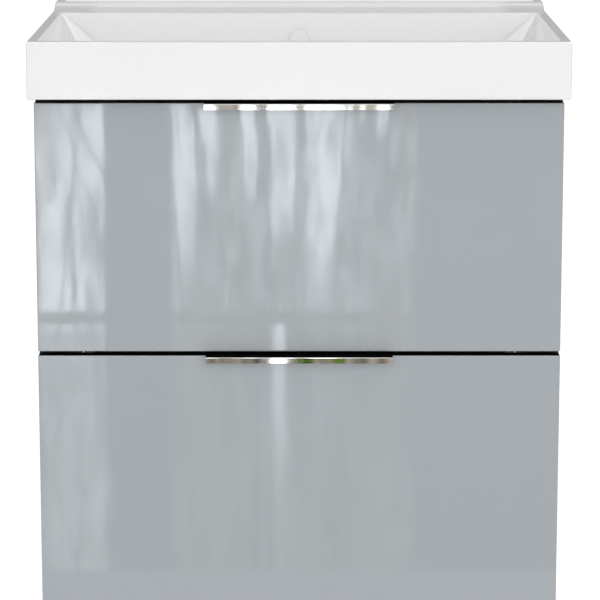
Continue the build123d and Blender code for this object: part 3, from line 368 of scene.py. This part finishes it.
def cage_acetal(levels):
    """Black ball cages: whatever stands off the thin rails is a steel ball."""
    recipe = Recipe("cage_acetal")
    height = recipe.axis("Z")
    off = None
    for level in levels:
        away = recipe.math("ABSOLUTE", recipe.math("SUBTRACT", height, level))
        off = away if off is None else recipe.math("MINIMUM", off, away)
    ball = recipe.math("GREATER_THAN", off, CAGE_RAIL)
    fine = recipe.noise(0.001, 3, 0.6)
    recipe.set(
        Base_Color=recipe.mix(ball, (0.02, 0.02, 0.022), (0.62, 0.62, 0.61)),
        Metallic=ball,
        Roughness=recipe.math(
            "SUBTRACT",
            recipe.span(fine, 0.2, 0.8, 0.4, 0.55),
            recipe.math("MULTIPLY", ball, 0.28),
        ),
    )
    recipe.bump((fine, 0.00001))
    return recipe.material


def beech():
    recipe = Recipe("beech")
    grain = recipe.noise(0.0012, 4, 0.6, stretch=(12, 1, 1))
    recipe.set(
        Base_Color=recipe.mix(grain, (0.36, 0.20, 0.09), (0.62, 0.42, 0.24)),
        Roughness=recipe.span(grain, 0.2, 0.8, 0.5, 0.7),
    )
    recipe.bump((grain, 0.00008))
    return recipe.material


MATERIALS = {
    "grey_gloss_lacquer": gloss_lacquer(),
    "basin_cast": gel_coat(),
    "chrome": chrome_plate(),
    # The handles' upper faces get painted shade from the gap above them.
    "handle": chrome_plate("handle_chrome", painted_shade_top=True),
    "carcass_board": carcass_melamine("carcass_melamine", bare_edge=True),
    "rail": carcass_melamine("rail_melamine", bare_edge=False),
    "box_board": box_foil(),
    "zinc_steel": zinc_plate(),
    "cam_metal": cast_zinc(),
    "beech": beech(),
    "white_plastic": plastic("white_polypropylene", (0.72, 0.73, 0.73), (0.80, 0.80, 0.79), 0.3),
    "grey_plastic": plastic("grey_polyethylene", (0.22, 0.225, 0.23), (0.30, 0.305, 0.31), 0.42),
    "clear_rubber": plastic("clear_rubber", (0.42, 0.42, 0.40), (0.55, 0.55, 0.53), 0.45),
    "handle_screw": plastic("black_oxide", (0.010, 0.010, 0.011), (0.020, 0.020, 0.021), 0.5),
    "silicone": plastic("silicone", (0.74, 0.74, 0.73), (0.82, 0.82, 0.81), 0.32, 0.004, 0.00005),
}
SLOT_OF = {part["node"]: part["material_slot"] for part in frame["record"]["subparts"]}


def cage_levels(name):
    """The heights of a cage node's two rails, from its box: a ball's radius inside each end."""
    low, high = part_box(name)
    return [low.z + CAGE_BALL, high.z - CAGE_BALL]


def paint_for(name):
    """The material of a CAD node: its slot's own, with a few nodes of their own."""
    if SLOT_OF[name] == "cage_plastic":
        return cage_acetal(cage_levels(name))
    if name in ("upper_handle", "lower_handle"):
        return MATERIALS["handle"]
    if name.endswith("_handle_screws"):
        return MATERIALS["handle_screw"]
    if name.endswith("_rail"):
        return MATERIALS["rail"]
    if name == "overflow_cover":
        return plastic("cover_gloss", *GEL_COAT, 0.14)
    return MATERIALS[SLOT_OF[name]]


for name, obj in frame["nodes"].items():
    paint = paint_for(name)
    for index in range(len(obj.material_slots)):
        obj.material_slots[index].material = paint


# ------------------------------------------------------------------ corrugated overflow hose
def corrugated_hose():
    """A thin corrugated tube on the CAD hose's route, with plain cuffs at both ends."""
    low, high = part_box("overflow_hose")
    outer = (high.x - low.x) / 2
    wall, depth, pitch, cuff, step = 0.0011, 0.0022, 0.0042, 0.011, 0.00035
    bend, sides = 0.030, 40
    back = high.y - outer
    floor = low.z + outer
    down = high.z - floor - bend
    along = back - bend - low.y
    turn = bend * pi / 2
    total = down + turn + along

    def place(distance):
        """The centre line's point and its two cross directions at a distance along it."""
        if distance <= down:
            return Vector((0, back, high.z - distance)), Vector((0, 1, 0))
        if distance <= down + turn:
            angle = (distance - down) / bend
            middle = Vector((0, back - bend, floor + bend))
            arm = Vector((0, cos(angle), -sin(angle)))
            return middle + arm * bend, arm
        rest = distance - down - turn
        return Vector((0, back - bend - rest, floor)), Vector((0, 0, -1))

    def ridge(distance):
        inside = min(distance, total - distance)
        if inside < cuff:
            return 0.0
        return 0.5 * depth * (1 - cos(2 * pi * (inside - cuff) / pitch))

    mesh = bmesh.new()
    count = round(total / step)
    skins = []
    for thickness in (0.0, wall):
        rings = []
        for i in range(count + 1):
            distance = total * i / count
            centre, arm = place(distance)
            radius = outer - ridge(distance) - thickness
            ring = []
            for j in range(sides):
                angle = 2 * pi * j / sides
                offset = Vector((1, 0, 0)) * sin(angle) + arm * cos(angle)
                ring.append(mesh.verts.new(centre + offset * radius))
            rings.append(ring)
        skins.append(rings)
        for a, b in zip(rings, rings[1:]):
            for j in range(sides):
                k = (j + 1) % sides
                mesh.faces.new((a[j], a[k], b[k], b[j]))
    for end in (0, -1):
        a, b = skins[0][end], skins[1][end]
        for j in range(sides):
            k = (j + 1) % sides
            mesh.faces.new((a[j], a[k], b[k], b[j]))
    bmesh.ops.recalc_face_normals(mesh, faces=mesh.faces)
    data = bpy.data.meshes.new("hose_corrugated")
    mesh.to_mesh(data)
    mesh.free()
    for face in data.polygons:
        face.use_smooth = True
    hose = bpy.data.objects.new("hose_corrugated", data)
    bpy.context.scene.collection.objects.link(hose)
    data.materials.append(MATERIALS["grey_plastic"])
    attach(hose, "cabinet")
    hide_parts("overflow_hose")


corrugated_hose()


# ------------------------------------------------------------------ studio
def emitter(name, build):
    """An emission material whose strength and colour come from build(recipe)."""
    recipe = Recipe(name)
    recipe.tree.nodes.remove(recipe.shader)
    colour, strength = build(recipe)
    light = recipe.node("ShaderNodeEmission", {"Strength": strength})
    recipe.feed(light.inputs["Color"], colour)
    output = recipe.tree.nodes["Material Output"]
    recipe.tree.links.new(light.outputs[0], output.inputs["Surface"])
    return recipe.material


def flat(x0, x1, y0, y1, z):
    """The corners of a level panel."""
    return [(x0, y0, z), (x1, y0, z), (x1, y1, z), (x0, y1, z)]


def upright(x0, x1, y, z0, z1):
    """The corners of a panel that stands square to Y."""
    return [(x0, y, z0), (x1, y, z0), (x1, y, z1), (x0, y, z1)]


def sideways(x, y0, y1, z0, z1):
    """The corners of a panel that stands square to X."""
    return [(x, y0, z0), (x, y1, z0), (x, y1, z1), (x, y0, z1)]


def panel(name, corners, paint):
    """A flat stage panel with its corners in order."""
    data = bpy.data.meshes.new(name)
    data.from_pydata([tuple(c) for c in corners], [], [(0, 1, 2, 3)])
    data.materials.append(paint)
    made = bpy.data.objects.new(name, data)
    bpy.context.scene.collection.objects.link(made)
    return made


def floor():
    """A pale matt floor, kept bright all the way out."""
    recipe = Recipe("studio_floor")
    recipe.set(
        Base_Color=recipe.mix(recipe.noise(0.6, 4), (0.80, 0.80, 0.80), (0.84, 0.84, 0.84)),
        Roughness=0.9,
        Specular_IOR_Level=0.1,
        Emission_Color=(1.0, 1.0, 1.0, 1.0),
        Emission_Strength=recipe.span(recipe.axis("Y"), -0.5, 0.3, 0.12, 0.6),
    )
    level = UNDERSIDE - FLOOR_BELOW
    half = FLOOR_SPAN / 2
    panel("floor", flat(-half, half, -half, half, level), recipe.material)


def reflection_only(made):
    made.visible_camera = False
    made.visible_diffuse = False
    made.visible_transmission = False
    made.visible_shadow = False


def masked(recipe, value, middle, half, edge):
    """1 within half of a middle and 0 outside it, with soft edges."""
    off = recipe.math("ABSOLUTE", recipe.math("SUBTRACT", value, middle))
    return recipe.span(off, half - edge, half + edge, 1.0, 0.0)


def all_of(recipe, operation, values):
    """Folds values into one with a math operation."""
    total = values[0]
    for value in values[1:]:
        total = recipe.math(operation, total, value)
    return total


def streaked_light(recipe):
    """Daylight through two tall panes, with tree trunks before the sky and a garden below a sill."""
    across = recipe.axis("X")
    height = recipe.axis("Z")
    below = recipe.math("SUBTRACT", CARD_TOP, height)
    sway = recipe.math("SUBTRACT", recipe.noise(0.05, 3, 0.6, stretch=(1, 1, 3)), 0.5)
    bent = recipe.math("ADD", across, recipe.math("MULTIPLY", sway, 0.022))

    panes = all_of(
        recipe, "MAXIMUM", [masked(recipe, across, x, half, 0.002) for x, half in PANES]
    )
    depth = recipe.math("ADD", below, recipe.math("MULTIPLY", sway, 0.10))
    gaps = []
    for top, half, reach, lean in SKY_GAPS:
        middle = recipe.math("ADD", recipe.math("MULTIPLY", below, lean), top)
        narrow = recipe.math("SUBTRACT", half, recipe.math("MULTIPLY", below, 0.25 * half / reach))
        off = recipe.math("ABSOLUTE", recipe.math("SUBTRACT", bent, middle))
        gap = recipe.span(recipe.math("SUBTRACT", off, narrow), -0.002, 0.002, 1.0, 0.0)
        fade = recipe.span(depth, 0.7 * reach, 1.25 * reach, 1.0, 0.16)
        gaps.append(recipe.math("MULTIPLY", gap, fade))
    right_sky = all_of(recipe, "MAXIMUM", gaps)
    clear = []
    for top, half, lean in BRANCHES:
        middle = recipe.math("ADD", recipe.math("MULTIPLY", below, lean), top)
        branch = masked(recipe, recipe.math("SUBTRACT", bent, middle), 0.0, half, 0.004)
        clear.append(recipe.math("SUBTRACT", 1.0, recipe.math("MULTIPLY", branch, 0.75)))
    left_pane = recipe.span(across, -0.27, -0.22, 1.0, 0.0)
    left_sky = recipe.math("MULTIPLY", all_of(recipe, "MULTIPLY", clear), left_pane)

    twigs = recipe.noise(0.011, 6, 0.65, stretch=(1, 1, 8), distortion=0.5)
    boughs = recipe.noise(0.05, 3, 0.55, stretch=(1, 1, 4), distortion=0.8)
    tone = recipe.span(recipe.math("ADD", twigs, recipe.math("MULTIPLY", boughs, 0.6)), 0.58, 0.98)
    left_tone = recipe.math("ADD", recipe.math("MULTIPLY", tone, 0.95), 0.08)
    right_tone = recipe.math("ADD", recipe.math("MULTIPLY", tone, 0.85), 0.28)
    undergrowth = recipe.math(
        "MULTIPLY", recipe.span(tone, 0.3, 1.0, 0.0, 0.24), recipe.span(below, 0.01, 0.06)
    )
    sky = recipe.math(
        "ADD",
        recipe.math("MULTIPLY", left_sky, left_tone),
        recipe.math("MULTIPLY", right_sky, right_tone),
    )
    sky = recipe.math("MAXIMUM", sky, undergrowth)

    sill = recipe.math("SUBTRACT", 1.0, masked(recipe, height, SILL, SILL_HALF, 0.004))
    above = recipe.span(height, SILL - 0.03, SILL, 0.30, 1.0)
    hedge = recipe.math(
        "MULTIPLY",
        masked(recipe, height, HEDGE, HEDGE_HALF, 0.008),
        masked(recipe, across, 0.0, 0.165, 0.01),
    )
    open_air = recipe.math("SUBTRACT", 1.0, hedge)
    light = all_of(recipe, "MULTIPLY", [sky, panes, sill, above, open_air])
    flare = masked(recipe, bent, *FLARE, 0.005)
    low_flare = recipe.span(height, SILL - 0.34, SILL - 0.02, 0.10, 0.75)
    low_flare = recipe.math("MULTIPLY", low_flare, recipe.math("LESS_THAN", height, SILL))
    light = recipe.math("MAXIMUM", light, all_of(recipe, "MULTIPLY", [flare, low_flare, sill]))

    bark = recipe.noise(0.013, 3, 0.6, stretch=(1, 1, 30))
    ground = recipe.mix(recipe.span(bark, 0.3, 0.7), (0.13, 0.11, 0.085), (0.50, 0.44, 0.36))
    leaves = recipe.mix(recipe.span(bark, 0.35, 0.65), (0.035, 0.06, 0.008), (0.12, 0.20, 0.02))
    garden = recipe.span(height, SILL - 0.02, SILL, 1.0, 0.0)
    lawns = all_of(recipe, "MAXIMUM", [masked(recipe, bent, x, half, 0.004) for x, half in LAWNS])
    post = masked(recipe, across, *POST, 0.002)
    dull = recipe.mix(recipe.math("MULTIPLY", lawns, garden), ground, leaves)
    dull = recipe.mix(recipe.math("MULTIPLY", post, garden), dull, (0.02, 0.02, 0.025))
    dull = recipe.mix(panes, (0.14, 0.14, 0.14), dull)
    strip = recipe.math(
        "MULTIPLY",
        recipe.span(height, LIP_STRIP - 0.0005, LIP_STRIP + 0.0005),
        masked(recipe, across, 0.0, LIP_STRIP_HALF, 0.002),
    )
    daylight = recipe.mix(strip, DAYLIGHT, LIP_DAYLIGHT)
    return recipe.mix(light, dull, daylight), 1.0


def reflection_card():
    """The streaked card stands before the fronts and shows only in glossy reflections."""
    foot = UNDERSIDE - FLOOR_BELOW + 0.005
    across = CARD_HALF_WIDTH
    corners = upright(-across, across, FACE - CARD_DISTANCE, foot, CARD_TOP)
    reflection_only(panel("card_streaks", corners, emitter("streaked_light", streaked_light)))


def plain_glow(strength):
    """Builds an even white glow, just uneven enough not to look like a flat card."""

    def build(recipe):
        cloud = recipe.noise(0.4, 3)
        return recipe.mix(cloud, (0.96, 0.97, 1.0), (1.0, 1.0, 0.98)), strength

    return build


def glow_card(name, glow_name, strength, corners):
    reflection_only(panel(name, corners, emitter(glow_name, plain_glow(strength))))


def glossy_cards():
    """Cards and dark flags round the object that only its gloss picks up."""
    for name, side in (("left", -1), ("right", 1)):
        x = side * 2.2
        glow_card(f"card_{name}", f"soft_{name}", 2.0, sideways(x, -3.0, 1.0, 0.45, 1.6))
        top = flat(side * 0.35, side * 2.3, -1.8, 0.9, 2.1)
        glow_card(f"card_top_{name}", f"glow_top_{name}", 3.3, top)
        glow_card(f"flag_{name}", f"dark_{name}", 0.03, sideways(x, -2.2, 2.2, -0.85, 0.2))
    glow_card("card_front", "front_glow", 1.7, upright(-3.2, 3.2, -3.0, 0.9, 2.3))
    lit_step = upright(-0.3, 0.3, WALL + 0.012, LEDGE + 0.0005, LEDGE + 0.014)
    glow_card("card_ledge", "ledge_glow", 0.95, lit_step)

    behind = WALL + 0.35
    shade_card = emitter("dark_behind", plain_glow(0.42))
    for name, near, far in (("left", -1.5, -0.295), ("right", 0.295, 1.5)):
        flag = upright(near, far, behind, LEDGE + 0.03, 0.6)
        reflection_only(panel(f"flag_behind_{name}", flag, shade_card))
    low = upright(-0.6, 0.6, behind, UNDERSIDE - 0.15, -0.02)
    glow_card("flag_behind_low", "dark_low", 0.03, low)
    glow_card("card_overhead", "overhead_glow", 1.5, flat(-1.6, 1.6, 0.3, 2.4, 2.2))
    glow_card("card_behind", "behind_glow", 0.7, upright(-1.6, 1.6, 2.4, 0.7, 2.2))


def area_light(name, place, size, power):
    data = bpy.data.lights.new(name, "AREA")
    data.shape = "RECTANGLE"
    data.size, data.size_y = size
    data.energy = power
    lamp = bpy.data.objects.new(name, data)
    lamp.location = place
    lamp.rotation_euler = (Vector(LIGHT_AIM) - Vector(place)).to_track_quat("-Z", "Y").to_euler()
    bpy.context.scene.collection.objects.link(lamp)
    lamp.visible_glossy = False


def world():
    bpy.context.scene.view_settings.view_transform = "Standard"
    made = bpy.data.worlds.new("studio")
    made.use_nodes = True
    background = made.node_tree.nodes["Background"]
    background.inputs["Color"].default_value = (1.0, 1.0, 1.0, 1.0)
    background.inputs["Strength"].default_value = WORLD_STRENGTH
    bpy.context.scene.world = made


def camera():
    data = bpy.data.cameras.new("camera")
    data.lens = CAMERA_LENS
    data.sensor_width = 36.0
    made = bpy.data.objects.new("camera", data)
    made.location = CAMERA_AT
    made.rotation_euler = (pi / 2 - CAMERA_PITCH, 0.0, 0.0)
    bpy.context.scene.collection.objects.link(made)
    bpy.context.scene.camera = made


floor()
reflection_card()
glossy_cards()
for light in LIGHTS:
    area_light(*light)
world()
camera()
